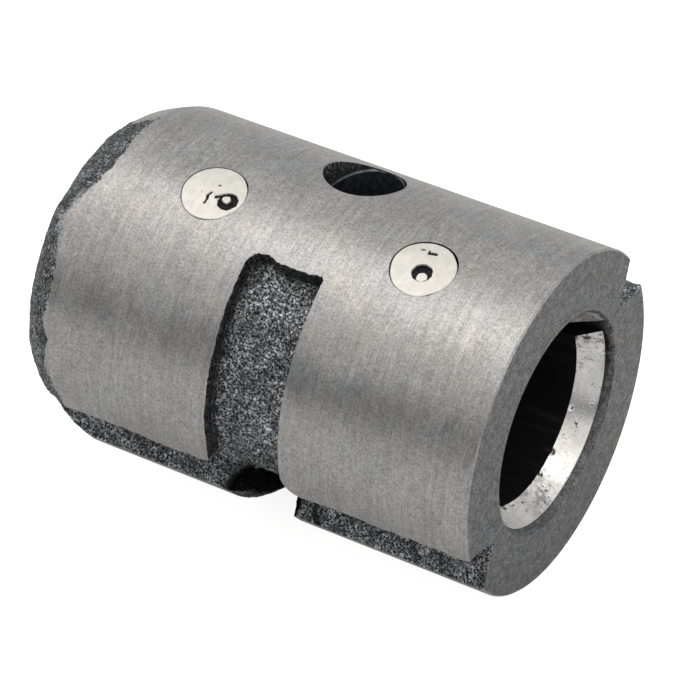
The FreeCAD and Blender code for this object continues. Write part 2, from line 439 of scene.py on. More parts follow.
WARM = (1.0, 0.99, 0.982)
COOL = (0.98, 1.0, 1.025)
CAST_TINT = (0.955, 1.0, 1.05)
DRILLED_TINT = (0.88, 0.94, 1.2)
WHITE_METAL_TINT = (1.0, 0.985, 0.96)
BORE_SHADE_TINT = (0.95, 0.97, 1.05)
CREAM = (1.0, 0.985, 0.925)


def lip_painted_shade(n):
    """Painted shade on the iron lip round the white metal: dark next to it, mostly high up."""
    _, y, z = n.split(n.place)
    radius = n.plus(n.off_axis(y, z), n.wander(900.0, 0.00016))
    clean_and_lit = n.span(radius, 0.01495, 0.0155)
    # The painted shade is deepest high up.
    shadiest = n.span(z, -0.009, 0.002, 0.8, 0.04)
    return n.plus(n.times(clean_and_lit, n.minus(1.0, shadiest)), shadiest)


def turned_iron(name, kind, level, roughness, patches=0.12, fleck=0.24, tint=WARM, shade=None):
    """Machined grey iron with fine tool marks, graphite flecks and light handling wear."""
    n = new_material(name)
    lathe = n.turning(kind)
    fine = n.tool_marks(lathe, (7000.0, 260.0, 260.0), detail=2.0)
    coarse = n.tool_marks(lathe, (1500.0, 45.0, 45.0))
    flecks = n.noise(3600.0, detail=2.0)
    clouds = n.noise(160.0, detail=4.0, distortion=0.6)
    mottle = n.noise(900.0, detail=4.0, roughness=0.65)
    value = n.times(
        level,
        n.vary(clouds, 0.9, 1.08),
        n.vary(mottle, 1 - patches, 1 + patches),
        n.vary(coarse, 0.9, 1.1),
        n.span(fine, 0.25, 0.75, 0.82, 1.17),
        n.span(flecks, 0.34, 0.62, 1 - fleck, 1 + fleck / 2),
    )
    if shade:
        value = n.times(value, shade(n))
    warm = n.span(n.noise(230.0, detail=2.0, roughness=0.5), 0.35, 0.65, -0.022, 0.022)
    tint = (n.plus(warm, tint[0]), tint[1], n.minus(tint[2], warm))
    rough = n.plus(n.vary(clouds, -0.04, 0.05), roughness)
    normal = n.bump(coarse, 0.000012, 0.8, n.soft_edges(0.00012))
    normal = n.bump(fine, 0.000006, 0.8, normal)
    normal = n.bump(flecks, 0.000012, 0.6, normal)
    return n.finish(n.grey(value, tint), 0.85, rough, normal)


def hollow_painted_shade(n):
    """Painted shade: 1 on lit metal, nearly 0 in the dark hollow under the slot. Works in millimetres.
    """
    wander = n.wander(700.0, 0.35)
    height = n.plus(n.toward(0.0, PER_METRE), wander)
    x = n.plus(n.times(n.split(n.place)[0], PER_METRE), wander)
    # The painted shade starts at the rear wall low down, and further forward near the joint.
    lean = n.math("MAXIMUM", n.plus(height, 3.5), -1.8)
    lean = n.times(n.times(lean, lean), 0.55)
    past = n.minus(x, n.plus(lean, SLOT_REAR - 0.25))
    dark = n.times(
        n.span(past, -0.8, 0.8),
        n.span(height, -0.85, -1.25),
        n.span(height, -15.0, -12.5),
        n.span(x, SLOT_FRONT + 0.1, SLOT_FRONT - 0.3),
    )
    # A dark line of the same painted shade just in front of the slot.
    seam = n.plus(x, n.times(height, 0.6))
    seam = n.math("ABSOLUTE", n.minus(seam, SLOT_FRONT + 0.65))
    dark = n.math("MAXIMUM", dark, n.span(seam, 0.6, 0.25, 0.0, 0.85))
    return n.span(dark, 0.0, 1.0, 1.0, 0.035)


def slot_floor_painted_shade(n):
    """Painted shade: 1 high on the slot floor, darker toward its lower end, which faces down. Works in
    millimetres.
    """
    height = n.plus(n.toward(0.0, PER_METRE), n.wander(500.0, 1.5))
    return n.span(height, 0.5, 7.5, 0.42, 1.0)


def rim_painted_highlight(n):
    """Painted highlight: 1 where the cast rim is lit bright beside the land, on the viewer's side."""
    out = n.plus(n.toward(14.0), n.wander(600.0, 0.0005))
    return n.span(out, 0.0228, 0.0236)


def cast_iron(name, low, high, painted_shade=None, wear_and_sheen=None):
    """Rough sand-cast iron: small bright grains, painted shade in its hollows and creases, and painted
    glints.
    """
    n = new_material(name)
    grains = n.noise(3100.0, detail=4.0, roughness=0.7)
    lumps = n.noise(1100.0)
    patches = n.noise(430.0)
    # Tiny bright specks are painted glints.
    painted_glints = n.noise(4300.0, detail=2.0, roughness=0.5)
    stain = n.noise(180.0)
    # Pointiness paints shade into hollows and light onto raised spots.
    pointiness_painted_light = n.add("ShaderNodeNewGeometry").outputs["Pointiness"]
    # Ambient occlusion paints shade into creases and corners.
    ao_painted_shade = n.add("ShaderNodeAmbientOcclusion", {"Distance": 0.003}, samples=6).outputs["AO"]
    share = n.times(
        n.span(grains, 0.46, 0.62),
        n.span(pointiness_painted_light, 0.47, 0.54, 0.4, 1.3),
        n.span(lumps, 0.35, 0.65, 0.55, 1.2),
        n.span(patches, 0.36, 0.64, 0.45, 1.3),
    )
    share = n.plus(share, n.span(painted_glints, 0.64, 0.7, 0.0, 0.5))
    # A painted highlight brightens the grains where the mask is high.
    if wear_and_sheen:
        share = n.plus(share, n.times(wear_and_sheen(n), n.span(grains, 0.4, 0.6, 0.3, 1.2)))
    value = n.times(
        n.span(share, 0.0, 1.0, low, high),
        n.vary(stain, 0.75, 1.2),
        n.span(ao_painted_shade, 0.3, 0.75, 0.12, 1.0),
    )
    normal = n.bump(grains, 0.0001, 1.0, n.bump(lumps, 0.00014))
    rough = n.vary(grains, 0.62, 0.38)
    metal = 0.6
    shine = 0.5
    # Painted shade: where the mask is low the colour darkens and the metal loses its shine.
    if painted_shade:
        clean_and_lit = painted_shade(n)
        value = n.times(value, clean_and_lit)
        metal = n.times(clean_and_lit, metal)
        shine = n.times(clean_and_lit, shine)
        rough = n.math("MAXIMUM", rough, n.span(clean_and_lit, 0.0, 1.0, 0.9, 0.0))
    return n.finish(n.grey(value, CAST_TINT), metal, rough, normal, Specular_IOR_Level=shine)


def drilled_iron(name, low, high):
    """Bored hole wall with a faint mottle."""
    n = new_material(name)
    mottle = n.noise(1500.0)
    value = n.vary(mottle, low, high)
    return n.finish(n.grey(value, DRILLED_TINT), 0.8, 0.42, n.bump(mottle, 0.00003, 0.8))


def white_metal(name, level):
    """Bored white metal: bright, with fine rings, pores and dull smears."""
    n = new_material(name)
    lathe = n.turning("face")
    rings = n.tool_marks(lathe, (4600.0, 420.0, 420.0), detail=2.0)
    smear = n.tool_marks(lathe, (500.0, 160.0, 160.0), detail=4.0, distortion=0.4)
    dots = n.add("ShaderNodeTexVoronoi", {"Vector": n.place, "Scale": 2500.0}).outputs["Distance"]
    dots = n.plus(dots, n.span(n.noise(420.0), 0.35, 0.65, 0.2, -0.1))
    pores = n.plus(dots, n.vary(n.noise(5000.0, detail=2.0), -0.08, 0.08))
    value = n.times(
        level,
        n.span(smear, 0.35, 0.6, 0.8, 1.03),
        n.vary(rings, 0.9, 1.06),
        n.span(pores, 0.14, 0.24, 0.3, 1.0),
        n.span(n.hollow(), 0.0, 1.0, 1.0, 0.06),
    )
    normal = n.bump(smear, 0.00002, 0.6, n.soft_edges(0.0001))
    normal = n.bump(rings, 0.000012, 0.8, normal)
    normal = n.bump(pores, 0.000014, 0.6, normal)
    return n.finish(n.grey(value, WHITE_METAL_TINT), 0.9, n.vary(smear, 0.34, 0.24), normal)


def bore_painted_shade(name):
    """The running surface and joint edges of the lining, painted near black as shade deep in the bore.
    """
    n = new_material(name)
    streaks = n.tool_marks(n.turning("outside"), (90.0, 1100.0, 1100.0))
    value = n.span(streaks, 0.55, 0.8, 0.006, 0.04)
    return n.finish(n.grey(value, BORE_SHADE_TINT), 0.3, 0.5, n.bump(streaks, 0.00003, 0.6))


def plug_metal(name):
    """Soft cream-white metal turned flush, with dark shrinkage holes."""
    n = new_material(name)
    clouds = n.noise(700.0, detail=4.0)
    lines = n.tool_marks(n.turning("outside"), (5000.0, 300.0, 300.0), detail=2.0)
    hollow = n.hollow()
    clean_and_lit = n.grey(n.times(n.vary(clouds, 0.78, 0.93), n.vary(lines, 0.96, 1.03)), CREAM)
    dirt = n.blend(n.span(clouds, 0.4, 0.7), (0.006, 0.006, 0.009, 1), (0.03, 0.027, 0.035, 1))
    colour = n.blend(n.span(hollow, 0.25, 0.75), clean_and_lit, dirt)
    metal = n.span(hollow, 0.0, 1.0, 0.6, 0.0)
    rough = n.span(hollow, 0.0, 1.0, 0.5, 0.9)
    return n.finish(colour, metal, rough, n.bump(clouds, 0.00002, 0.5))


DULL_TURNING = {"patches": 0.36, "fleck": 0.42, "tint": COOL}
TURNED_OUTSIDE = turned_iron("turned_outside", "outside", level=0.455, roughness=0.37)
# The front face is a darker copy of the turned iron: painted shade for a face turned away from the
# light.
TURNED_FACE_PAINTED_SHADE = turned_iron("turned_face_painted_shade", "face", level=0.22, roughness=0.5, **DULL_TURNING)
# The mouth ring is a darker copy of the turned iron, with painted shade next to the white metal and
# high up.
MOUTH_RING = turned_iron(
    "mouth_ring", "face", level=0.2, roughness=0.55, shade=lip_painted_shade, **DULL_TURNING
)
JOINT_IRON = turned_iron(
    "joint_face", "outside", level=0.16, roughness=0.5, **DULL_TURNING | {"patches": 0.4}
)
CAST = cast_iron("cast_surface", low=0.015, high=0.85)
# The slot floor carries painted shade toward its lower end.
CAST_FLOOR = cast_iron("slot_floor", low=0.02, high=1.0, painted_shade=slot_floor_painted_shade)
# A darker copy of the cast iron: painted shade for the slot walls that face away from the light.
CAST_WALL_PAINTED_SHADE = cast_iron("cast_wall_painted_shade", low=0.006, high=0.24)
# Cast iron darkened toward black by painted shade in the deep hollow under the slot.
CAST_HOLLOW_PAINTED_SHADE = cast_iron("cast_hollow_painted_shade", low=0.015, high=0.6, painted_shade=hollow_painted_shade)
# The rim's material adds a painted highlight beside the land.
CAST_RIM = cast_iron("cast_rim", low=0.02, high=0.6, wear_and_sheen=rim_painted_highlight)
HOLE_WALL = cast_iron("hole_wall", low=0.02, high=0.3)
STEP_IRON = drilled_iron("step_iron", low=0.06, high=0.18)
# Near-black drilled iron: painted shade deep in the holes.
DRILLED_PAINTED_SHADE = drilled_iron("drilled_wall_painted_shade", low=0.03, high=0.12)
LINING_METAL = white_metal("bright_white_metal", level=1.0)
# A darker copy of the white metal: painted shade for the upper lining at the top of the mouth.
WHITE_METAL_PAINTED_SHADE = white_metal("white_metal_painted_shade", level=0.34)
# Near-black painted shade for the bore and the lining's joint edges.
BORE_PAINTED_SHADE = bore_painted_shade("bore_painted_shade")
PLUG_METAL = plug_metal("cream_plug_metal")

# --------------------------------------------------------------------- shell and cutters

CONE_RUN = MOUTH_DEPTH / (MOUTH - BORE)
SHELL_CONE = (MOUTH - SEAT_BORE) * CONE_RUN
LINING_CONE = (MOUTH - LINING_BACK) * CONE_RUN
RING_STEP = 0.6


def shell_blank(name):
    """The whole turned ring, before it is split and before the cast shapes are cut."""
    profile = [(FRONT, OUTSIDE - EDGE_BREAK)]
    profile += [(x, OUTSIDE) for x in np.linspace(FRONT - EDGE_BREAK, REAR, 24)]
    profile += [(REAR, MOUTH), (REAR + SHELL_CONE, SEAT_BORE)]
    profile += [(FRONT - SHELL_CONE, SEAT_BORE), (FRONT, MOUTH)]
    x, radius = np.array(profile).T
    stations = np.arange(0, 360, RING_STEP)
    points = around(x[None, :], stations[:, None], radius[None, :])
    quads = grid_quads(len(stations), len(x), close_rows=True, close_columns=True)
    piece = paint(new_piece(name, points, quads), TURNED_OUTSIDE, TURNED_FACE_PAINTED_SHADE, MOUTH_RING, BORE_PAINTED_SHADE)
    for face in piece.data.polygons:
        if off_axis(face) > OUTSIDE - EDGE_BREAK:
            face.material_index = 0
        elif off_axis(face) < SEAT_BORE + 0.02:
            face.material_index = 3
        elif off_axis(face) < MOUTH and abs(face.center.x) < FRONT - 0.05:
            face.material_index = 2
        else:
            face.material_index = 1
    return piece


def joint_cutter(half):
    """Everything on the far side of the joint face and its two cast notches."""
    side = 1 if half == "upper" else -1
    seed = JOINT_SEED[half]
    steepness = NOTCH_FLANK[half]
    inside, outside = 14.2, 26.0
    past_ends, far_side = 1.5, 30.0
    face = np.linspace(inside, NOTCH_ROOT, 10)[:-1]
    half_row = np.concatenate([face, np.linspace(NOTCH_ROOT, outside, 40)])
    across = np.concatenate([-half_row[::-1], [0.0], half_row])
    along = np.linspace(REAR - past_ends, FRONT + past_ends, 330)
    along, across = np.meshgrid(along, across, indexing="ij")
    beyond = np.maximum(np.abs(across) - NOTCH_ROOT, 0)
    up = JOINT_GAP / 2 + beyond * math.tan(steepness)
    # The noise is read 40 mm off the joint, at places that the two halves don't share.
    spot = np.stack([along, across, up * side + 40 * side], axis=-1)
    rough = np.clip(beyond / 0.6, 0, 1)
    lump = 0.13 * grit(spot, 0.9, seed) + 0.07 * grit(spot, 0.42, seed + 5)
    lump += 0.16 * bumps(spot, 2.6, seed + 9)
    up = up + rough * (lump + 0.02) / math.cos(steepness)
    up = up + (1 - rough) * 0.02 * grit(spot, 0.7, seed + 3, 2)
    # Near the front face the root of the near notch lies a little above the joint plane.
    ridge = np.clip((across - 15.6) / 2.3, 0, 1) * np.clip((OUTSIDE - across) / 5.8, 0, 1)
    ridge = ROOT_RISE * ridge * np.clip((along - ROOT_RISE_START) / ROOT_RISE_RUN, 0, 1)
    if half == "upper":
        ridge += 0.1 * np.clip((across - NOTCH_ROOT), 0, 8) * np.clip((along + 2.0) / 30.0, 0, 1)
    shake = rough * 0.06 * grit(spot, 0.45, seed + 31, 2)
    axis_u = around(0.0, 90.0, 1.0)
    axis_w = around(0.0, 0.0, 1.0)
    east = np.array([1.0, 0.0, 0.0])

    def lay(x, u, w):
        return x[..., None] * east + u[..., None] * axis_u + w[..., None] * axis_w

    low = lay(along, across, np.full_like(up, -far_side * side))
    high = lay(along + shake, across, up * side + ridge)
    cutter = paint(slab("joint_cutter", low, high), CAST, CAST_HOLLOW_PAINTED_SHADE, JOINT_IRON)
    for face in cutter.data.polygons:
        near_slot = SLOT_REAR - 1.0 < face.center.x < SLOT_FRONT + 4.0 and face.center.y < 0
        if abs(face.center.dot(Vector(axis_u))) < NOTCH_ROOT - 0.2:
            face.material_index = 2
        # Lower notch faces beside the slot take the hollow's painted shade.
        elif half == "lower" and near_slot:
            face.material_index = 1
    return cutter


def wall_bend(station, start, radius):
    """How far a slot wall has turned outward at a rounded land corner."""
    travel = np.clip(np.radians(station - start) * OUTSIDE, 0, radius)
    return radius - np.sqrt(np.maximum(radius**2 - travel**2, 0))


def slot_walls(half):
    """Stations down the slot, and where its front and rear walls stand at each."""
    if half == "upper":
        station = np.concatenate([np.arange(0.4, 4.6, 0.13), np.arange(4.7, 97.0, 0.5)])
        front = SLOT_FRONT + wall_bend(station, 72.0, 3.1)
        rear = SLOT_REAR - wall_bend(station, 77.1, 1.0)
    else:
        before_end = np.array([1.2, 0.8, 0.5, 0.3, 0.15, 0.04, -0.08, -0.2, -0.4, -0.7])
        station = np.concatenate([np.arange(83.0, 176.0, 0.5), SLOT_END_STATION - before_end * 1.1])
        front = np.full_like(station, SLOT_FRONT - 0.6)
        rear = np.full_like(station, SLOT_REAR)
    spots = around(0.0, station, OUTSIDE)
    rear = rear + 0.09 * grit(spots, 0.7, SLOT_EDGE_SEED) + 0.08 * bumps(spots, 2.6, SLOT_EDGE_SEED + 6)
    front = front + 0.03 * grit(spots, 0.6, SLOT_EDGE_SEED + 10)
    return station[:, None], front[:, None], rear[:, None]


def slot_columns(front, rear):
    """Places across the slot from wall to wall, close together beside the walls."""
    near = np.array([-0.3, -0.15, -0.06, 0.02, 0.1, 0.18, 0.3, 0.45, 0.7, 1.05])
    middle = np.linspace(0, 1, 46)[1:-1]
    start = rear + near[-1]
    width = front - near[-1] - start
    return np.concatenate([rear + near, start + middle * width, front - near[::-1]], axis=1)


def upper_slot_depth(x, station, front, rear):
    """Depth of the slot in the upper half, and whether each place is on a wall."""
    depth = OUTSIDE - SLOT_FLOOR
    from_front = (front - x) / 0.3
    from_rear = (x - rear) / 0.2
    from_end = np.radians(station - SLOT_TOP_STATION) * OUTSIDE / 0.3
    share = np.clip((x - rear) / (front - rear), 0, 1)
    level = np.stack([x, np.zeros_like(x), np.zeros_like(x)], axis=-1)
    from_end -= 1.3 * np.clip((share - 0.22) / 0.12, 0, 1)
    from_end += 0.45 * grit(level, 0.9, SLOT_EDGE_SEED + 16)
    from_end += 0.3 * grit(around(x, station, OUTSIDE), 0.4, SLOT_EDGE_SEED + 18)
    walls = soft_min(soft_min(from_rear, from_end, 9.0), from_front, 1.2) * depth
    floor = depth - 0.9 * (1 - share) ** 1.5
    return soft_min(walls, floor, 0.6), walls < floor * 1.02


def lower_slot_depth(x, station, front, rear):
    """Depth of the slot's end in the lower half: it ramps down into a hollow."""
    depth = OUTSIDE - SLOT_FLOOR
    from_front = (front - x) / 0.3
    from_rear = (x - rear) / 0.2
    from_end = np.radians(SLOT_END_STATION - station) * OUTSIDE / 0.3
    ramp = np.where(from_rear > 0, 0.42 * np.maximum(x - rear, 0) ** 1.6, from_rear)
    floor = depth + HOLLOW_EXTRA + 1.3 * np.clip((114 - station) / 9, 0, 1)
    walls = soft_min(from_end, from_front, 2.0) * depth
    return soft_min(soft_min(ramp, walls, 0.5), floor, 0.7)


def slot_cutter(half):
    """The cast slot: rough floor, drafted walls and rounded corners."""
    seed = SLOT_SEED[half]
    highest, outside = 1.6, 26.5
    station, front, rear = slot_walls(half)
    x = slot_columns(front, rear)
    station = np.broadcast_to(station, x.shape)
    if half == "upper":
        sunk, walled = upper_slot_depth(x, station, front, rear)
    else:
        sunk = lower_slot_depth(x, station, front, rear)
    sunk = np.maximum(sunk, -highest)
    points = around(x, station, OUTSIDE - sunk)
    lump = 0.12 * grit(points, 0.8, seed) + 0.1 * grit(points, 0.42, seed + 7)
    lump += 0.1 * bumps(points, 2.4, seed + 3)
    rough = np.clip(sunk / (OUTSIDE - SLOT_FLOOR), 0.5, 1.0)
    shake = np.stack([grit(points, 0.55, seed + k, 2) for k in (61, 71, 83)], axis=-1)
    low = around(x, station, OUTSIDE - sunk + lump * rough) + 0.05 * shake
    cutter = slab("slot_cutter", low, around(x, station, outside))
    if half == "lower":
        # The lower half's slot end is painted with the hollow's shade.
        return paint(cutter, CAST_HOLLOW_PAINTED_SHADE)
    # The upper slot's walls take the darker cast iron, painted shade.
    paint(cutter, CAST_FLOOR, CAST_WALL_PAINTED_SHADE)
    walled = walled[:-1, :-1] & walled[1:, 1:]
    for face, on_wall in zip(cutter.data.polygons, walled.ravel()):
        face.material_index = int(on_wall)
    return cutter


def rim_cutter():
    """Leaves the cast rear rim: a rounded corner and a rough rear face."""
    station = np.arange(-180, 180, RING_STEP)
    stations, distances = np.array(LAND_LINE).T
    start = FRONT - np.interp(station, stations, distances)
    spots = around(0.0, station, OUTSIDE)
    start += 0.4 * bumps(spots, 3.4, RIM_SEED) + 0.16 * grit(spots, 1.3, RIM_SEED + 1)
    reach = start - REAR
    fall = RIM_FALL + 0.2 * hill(station, 96, 14)
    bend = (reach**2 + fall**2) / (2 * fall)
    # From the land outward to the corner, down the rounded rim, and in over the rear face.
    lead = np.linspace(1.6, 0, 8)[:-1]
    down = np.linspace(0, 1, 40)
    inner = np.linspace(0, 1, 22)[1:]
    lead_x = start[:, None] + lead[None, :]
    lead_r = OUTSIDE + 0.12 * np.broadcast_to(lead, lead_x.shape)
    run = reach[:, None] * down[None, :]
    rounded = bend[:, None] - np.sqrt(bend[:, None] ** 2 - run**2)
    rim_r = OUTSIDE - 0.5 * (rounded + fall[:, None] * down[None, :])
    face_r = (OUTSIDE - fall)[:, None] * (1 - inner) + RIM_INSIDE * inner
    face_x = np.full_like(face_r, REAR + 0.06)
    x = np.concatenate([lead_x, start[:, None] - run, face_x], axis=1)
    radius = np.concatenate([lead_r, rim_r, face_r], axis=1)
    spots = around(x, station[:, None], radius)
    # On the far side of the crown the corner was dressed smooth.
    at, column = np.meshgrid(station, np.arange(x.shape[1]), indexing="ij")
    dressed_from, dressed_to, last_column = -82, -33, 38
    margin = np.minimum(at - dressed_from, dressed_to + 0.08 * column - at) / 5
    margin = np.minimum(margin, (last_column - column) / 8) + 0.5 * grit(spots, 1.6, RIM_SEED + 34)
    dressed = np.clip(margin, 0, 1)
    no_lead, whole_face = np.zeros_like(lead), np.ones_like(inner)
    share = np.concatenate([no_lead, np.clip(down * 6, 0.25, 1), whole_face])
    share = share * (1 - 0.85 * dressed)
    on_face = np.concatenate([no_lead, np.zeros_like(down), whole_face])
    lump = 0.1 * grit(spots, 0.9, RIM_SEED + 4) + 0.06 * grit(spots, 0.4, RIM_SEED + 12)
    lump = lump + 0.14 * bumps(spots, 2.8, RIM_SEED + 30)
    radius = radius + share * (1 - on_face) * (lump - 0.03)
    x = x + share * on_face * np.abs(lump) * 1.2
    x = np.maximum(x, REAR + 0.005)
    # Back round outside the sleeve.
    back_x = np.array([REAR - 0.4, REAR - 2.5, REAR - 2.5, FRONT - 57.0])
    back_r = np.array([15.2, 15.2, 27.0, 27.0])
    x = np.concatenate([x, np.broadcast_to(back_x, (len(station), 4))], axis=1)
    radius = np.concatenate([radius, np.broadcast_to(back_r, (len(station), 4))], axis=1)
    points = around(x, station[:, None], radius)
    quads = grid_quads(*x.shape, close_rows=True, close_columns=True)
    cutter = paint(new_piece("rim_cutter", points, quads), CAST_RIM, TURNED_OUTSIDE)
    for number, face in enumerate(cutter.data.polygons):
        row, column = divmod(number, x.shape[1])
        face.material_index = int(column < dressed.shape[1] and dressed[row, column] > 0.5)
    return cutter


def hole_frame(x, station):
    """Origin on the axis, and the along, round and out directions of a radial hole."""
    out = around(0.0, station, 1.0)
    along = np.array([1.0, 0.0, 0.0])
    return np.array([x, 0.0, 0.0]), along, np.cross(along, out), out


def hole_cutter(name, x, station, rings, materials):
    """A stepped radial hole. Each ring is a radius, a height and the surface below it.

    A height is measured from the axis, or from the curved outside when it is small. A
    height of three numbers is a tilted ring: its middle, and its slopes along and round.
    A fourth value moves a ring along the axis.
    """
    smallest_from_axis = 5.0
    start, along, rounding, out = hole_frame(x, station)
    turn = np.radians(np.arange(0, 360, 3.0))
    points = []
    for radius, height, _, *moved in rings:
        a = radius * np.cos(turn) + sum(moved)
        b = radius * np.sin(turn)
        crown = np.sqrt(OUTSIDE**2 - b**2)
        if isinstance(height, tuple):
            middle, slope_along, slope_round = height
            level = np.minimum(middle + slope_along * a + slope_round * b, crown - 0.2)
        else:
            level = np.full_like(b, height) if height > smallest_from_axis else crown + height
        points.append(start + a[:, None] * along + b[:, None] * rounding + level[:, None] * out)
    count = len(turn)
    quads = grid_quads(len(rings), count, close_columns=True)
    cutter = new_piece(name, np.array(points), quads, end_caps(len(rings), count))
    paint(cutter, *materials)
    for number, face in enumerate(cutter.data.polygons):
        if number < len(quads):
            face.material_index = rings[number // count + 1][2]
    return cutter


def cross_hole_cutter():
    """The cross hole: a rough mouth down to a thin sloping step, and below it a near-black wall of
    painted shade.
    """
    rings = [
        (HOLE_RADIUS, 9.0, 0, STEP_SHIFT),
        (HOLE_RADIUS, (STEP_HEIGHT, *STEP_SLOPE), 0, STEP_SHIFT),
        (HOLE_RADIUS + 0.05, (STEP_HEIGHT + 0.09, *STEP_SLOPE), 2, STEP_SHIFT),
        (HOLE_MOUTH_RADIUS, (STEP_HEIGHT + 0.17, *STEP_SLOPE), 2),
        (HOLE_MOUTH_RADIUS, -0.05, 1),
        (HOLE_MOUTH_RADIUS + 0.06, 0.01, 3),
        (HOLE_MOUTH_RADIUS + 1.2, 1.2, 3),
    ]
    materials = (DRILLED_PAINTED_SHADE, HOLE_WALL, STEP_IRON, TURNED_OUTSIDE)
    return hole_cutter("cross_hole", HOLE_X, HOLE_STATION, rings, materials)


def plug_hole_cutter(half, x):
    rings = [(PLUG_RADIUS, 13.0, 0), (PLUG_RADIUS, -0.02, 0), (PLUG_RADIUS + 1.0, 1.0, 0)]
    return hole_cutter("plug_hole", x, PLUG_STATION[half], rings, (DRILLED_PAINTED_SHADE,))


def build_shells(cross_hole):
    rim = rim_cutter()
    for half in HALVES:
        shell = shell_blank(half + "_shell_cast")
        tools = [joint_cutter(half), slot_cutter(half)]
        tools += [plug_hole_cutter(half, x) for x in PLUG_X.values()]
        for tool in tools + [rim] + ([cross_hole] if half == "upper" else []):
            cut(shell, tool)
        drop(*tools)
        settle(shell, half, half + "_shell")
    drop(rim)


# --------------------------------------------------------------------------- linings

# Height of a lining's edges above or below the joint plane, at the bore and at the back.
EDGE_HEIGHT = {"upper": (3.3, 1.55), "lower": (1.3, 1.3)}

# Deep pores in the white metal of the lower half's mouth: station, share of the mouth's depth, size.
LOWER_PORES = [
    (-156.9, 0.68, 0.24),
    (-158.5, 0.62, 0.12),
    (161.6, 0.72, 0.16),
    (161.0, 0.57, 0.2),
    (160.2, 0.6, 0.12),
    (141.4, 0.83, 0.2),
    (143.0, 0.8, 0.12),
]

# Metal smeared over the iron corner of the mouth: how far out it goes, and the two corner
# points of the lining's outline that carry it.
SMEAR = {"upper": 0.62, "lower": 0.3}
CORNER_COLUMNS = (2, 3)


def lining_profile():
    """Outline of the lining wall, and how many points its front mouth and bore have."""
    corner = FRONT - LINING_CONE
    front = [(corner - 0.7, LINING_BACK), (corner, LINING_BACK)]
    front += [(corner, LINING_BACK - 0.02), (corner, LINING_BACK - 0.05)]
    front += [
        (corner - (MOUTH_DEPTH - LINING_CONE) * t, LINING_BACK + (BORE - LINING_BACK) * t)
        for t in 0.05 + 0.95 * np.linspace(0, 1, 26)
    ]
    inside = [(x, BORE) for x in np.linspace(FRONT - MOUTH_DEPTH, REAR + MOUTH_DEPTH, 60)[1:-1]]
    rear = [(-x, r) for x, r in front[::-1]]
    back = [(x, LINING_BACK) for x in np.linspace(REAR + LINING_CONE, corner, 12)[1:-1]]
    return front + inside + rear + back, len(front), len(inside)


def lining_pits(half, flat):
    """How deep the pores are at each place of the lining, from 0 to 1."""
    seed = LINING_SEED[half]
    pits = np.clip(bumps(flat, 0.8, seed) * 1.9 - 1.2, 0, 1)
    pits *= np.clip(grit(flat, 0.35, seed + 9, 2) * 0.6 + 0.75, 0, 1)
    for station, share, size in LOWER_PORES if half == "lower" else []:
        centre = around(FRONT - MOUTH_DEPTH * share, station, MOUTH - (MOUTH - BORE) * share)
        shaken = flat + 0.06 * grit(flat, 0.3, seed + 2, 2)[..., None]
        away = np.linalg.norm(shaken - centre, axis=-1)
        pits = np.maximum(pits, np.clip((size - away) / 0.08, 0, 1))
    return pits


def lining_dirt(half, flat, sweep, station):
    """Old oil smudged near the ends of the mouth, and lower down beside them."""
    seed = LINING_SEED[half]
    smudge = np.clip((np.abs(sweep) - 0.86) / 0.12, 0, 1)
    if half == "lower":
        smudge = np.maximum(smudge, 0.55 * hill(station, 154, 11))
    smudge = smudge * np.clip(0.35 + 1.5 * grit(flat, 0.5, seed + 41), 0, 1)
    speckled = np.clip((np.abs(sweep) - 0.55) / 0.25, 0, 1)
    return smudge + speckled * np.clip(grit(flat, 0.32, seed + 43, 2) - 0.3, 0, 1)


def build_lining(half, cross_hole):
    seed = LINING_SEED[half]
    profile, front_count, inside_count = lining_profile()
    x, radius = np.array(profile).T
    bore_edge = FRONT - MOUTH_DEPTH
    at_bore, at_back = EDGE_HEIGHT[half]
    edge_height = at_bore + (at_back - at_bore) * ((radius - BORE) / (LINING_BACK - BORE))
    limit = np.degrees(np.arccos(edge_height / radius))
    sweep = np.linspace(-1, 1, 400)[:, None]
    crown = 0.0 if half == "upper" else 180.0
    station = crown + sweep * limit[None, :]
    flat = around(x[None, :], station, radius[None, :])
    open_wall = np.zeros(len(x))
    open_wall[CORNER_COLUMNS[-1] + 1 : front_count + inside_count] = 1.0
    pits = lining_pits(half, flat)
    chips = np.clip(grit(flat, 1.1, seed + 13, 2) - 0.25, 0, 1) * hill(x, bore_edge, 0.35)
    wear_and_sheen = 0.02 * grit(flat, 1.6, seed + 21, 2) * open_wall
    deep = (pits * 0.12 * open_wall + chips * 0.5) + np.maximum(wear_and_sheen, 0)
    deep += 0.22 * (hill(station, -121, 26, 4) * hill(x, bore_edge, 0.5))
    deep = np.minimum(deep, (LINING_BACK - radius) * 0.8)
    fade = np.clip(1 - np.abs(station[:, 2] + 92) / 52, 0, 1)
    spots = around(x[2], station[:, 2], LINING_BACK)
    smear = SMEAR[half] * fade * (1 + 0.25 * bumps(spots, 1.3, seed + 27))
    place = np.broadcast_to(x, deep.shape).copy()
    for column in CORNER_COLUMNS:
        deep[:, column] = smear
        place[:, column] += smear * CONE_RUN
    points = around(place, station, radius[None, :] + deep)
    rows, columns = deep.shape
    quads = grid_quads(rows, columns, close_columns=True)
    lining = new_piece(half + "_lining_cast", points, quads, end_caps(rows, columns))
    dirt = lining_dirt(half, flat, sweep, station)
    mark_hollow(lining, np.clip(np.maximum(pits * 1.6, dirt) * open_wall, 0, 1))
    # The upper lining's mouth takes the darker copy of the white metal: painted shade.
    paint(lining, WHITE_METAL_PAINTED_SHADE if half == "upper" else LINING_METAL, BORE_PAINTED_SHADE)
    for face in lining.data.polygons:
        on_cone = abs(face.center.x) > bore_edge and off_axis(face) < MOUTH
        on_cone = on_cone and len(face.vertices) == 4
        face.material_index = 0 if on_cone else 1
    if half == "upper":
        cut(lining, cross_hole)
    settle(lining, half, half + "_lining")


